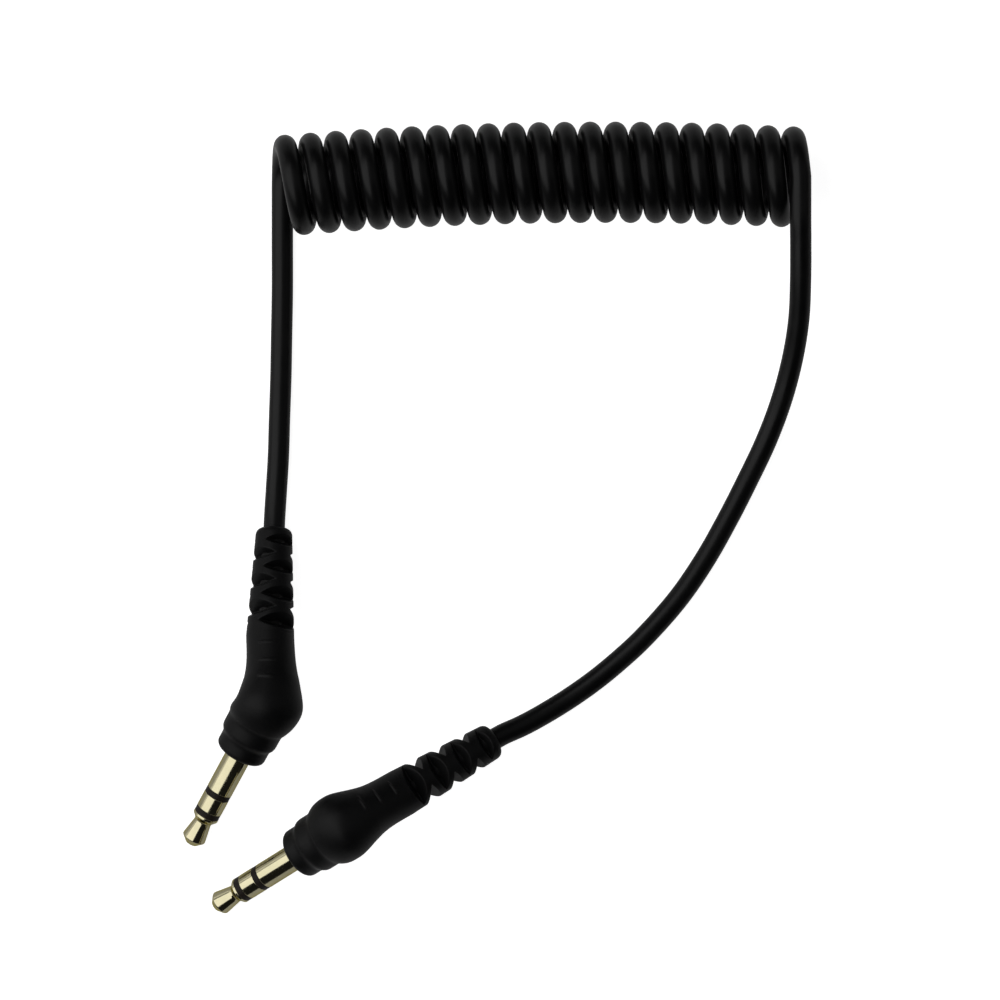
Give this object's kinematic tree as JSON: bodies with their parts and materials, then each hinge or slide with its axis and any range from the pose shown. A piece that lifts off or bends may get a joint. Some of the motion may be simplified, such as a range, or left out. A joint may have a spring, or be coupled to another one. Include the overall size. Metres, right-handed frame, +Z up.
{
  "type": "coiled audio patch cable",
  "caption": "Coiled audio patch cable with slim angled mini plugs moulded on both ends; the curled middle stretches and pulls back between free leads.",
  "frame": {"origin": "on the table, under the middle of the part as it lies", "axes": "+Z up, +Y from the plugs towards the coil, +X along the coil"},
  "size_m": [0.0831, 0.1049, 0.0161],
  "materials": {
    "jacket": "satin black cable jacket",
    "boot": "fine matt moulded black",
    "inner_mould": "natural hard moulding",
    "gilt": "pale gilt plating, polished",
    "band": "dark moulded plastic",
    "washer": "natural plastic",
    "solder": "bright solder",
    "core_red": "thin coloured insulation",
    "core_white": "thin coloured insulation",
    "copper": "bare twisted copper"
  },
  "bodies": {
    "left_end": {"left_lead": "jacket", "coil": "jacket", "left_boot": "boot", "left_inner_mould": "inner_mould", "left_tip_contact": "gilt", "left_tip_insulator": "band", "left_ring_contact": "gilt", "left_ring_insulator": "band", "left_sleeve_contact": "gilt", "left_ring_lug": "gilt", "left_rear_washer": "washer", "left_tip_lug": "gilt", "left_solder_joints": "solder", "left_tip_wire": "core_red", "left_ring_wire": "core_white", "left_shield_wire": "copper", "left_cable_end": "jacket"},
    "right_end": {"right_lead": "jacket", "right_boot": "boot", "right_inner_mould": "inner_mould", "right_tip_contact": "gilt", "right_tip_insulator": "band", "right_ring_contact": "gilt", "right_ring_insulator": "band", "right_sleeve_contact": "gilt", "right_ring_lug": "gilt", "right_rear_washer": "washer", "right_tip_lug": "gilt", "right_solder_joints": "solder", "right_tip_wire": "core_red", "right_ring_wire": "core_white", "right_shield_wire": "copper", "right_cable_end": "jacket"}
  },
  "joints": [
    {"name": "coil_stretch", "type": "slide", "parent": "left_end", "child": "right_end", "axis": [1, 0, 0], "range_m": [0, 0.2], "stiffness_N_per_m": 8, "deforming": ["coil"]}
  ]
}
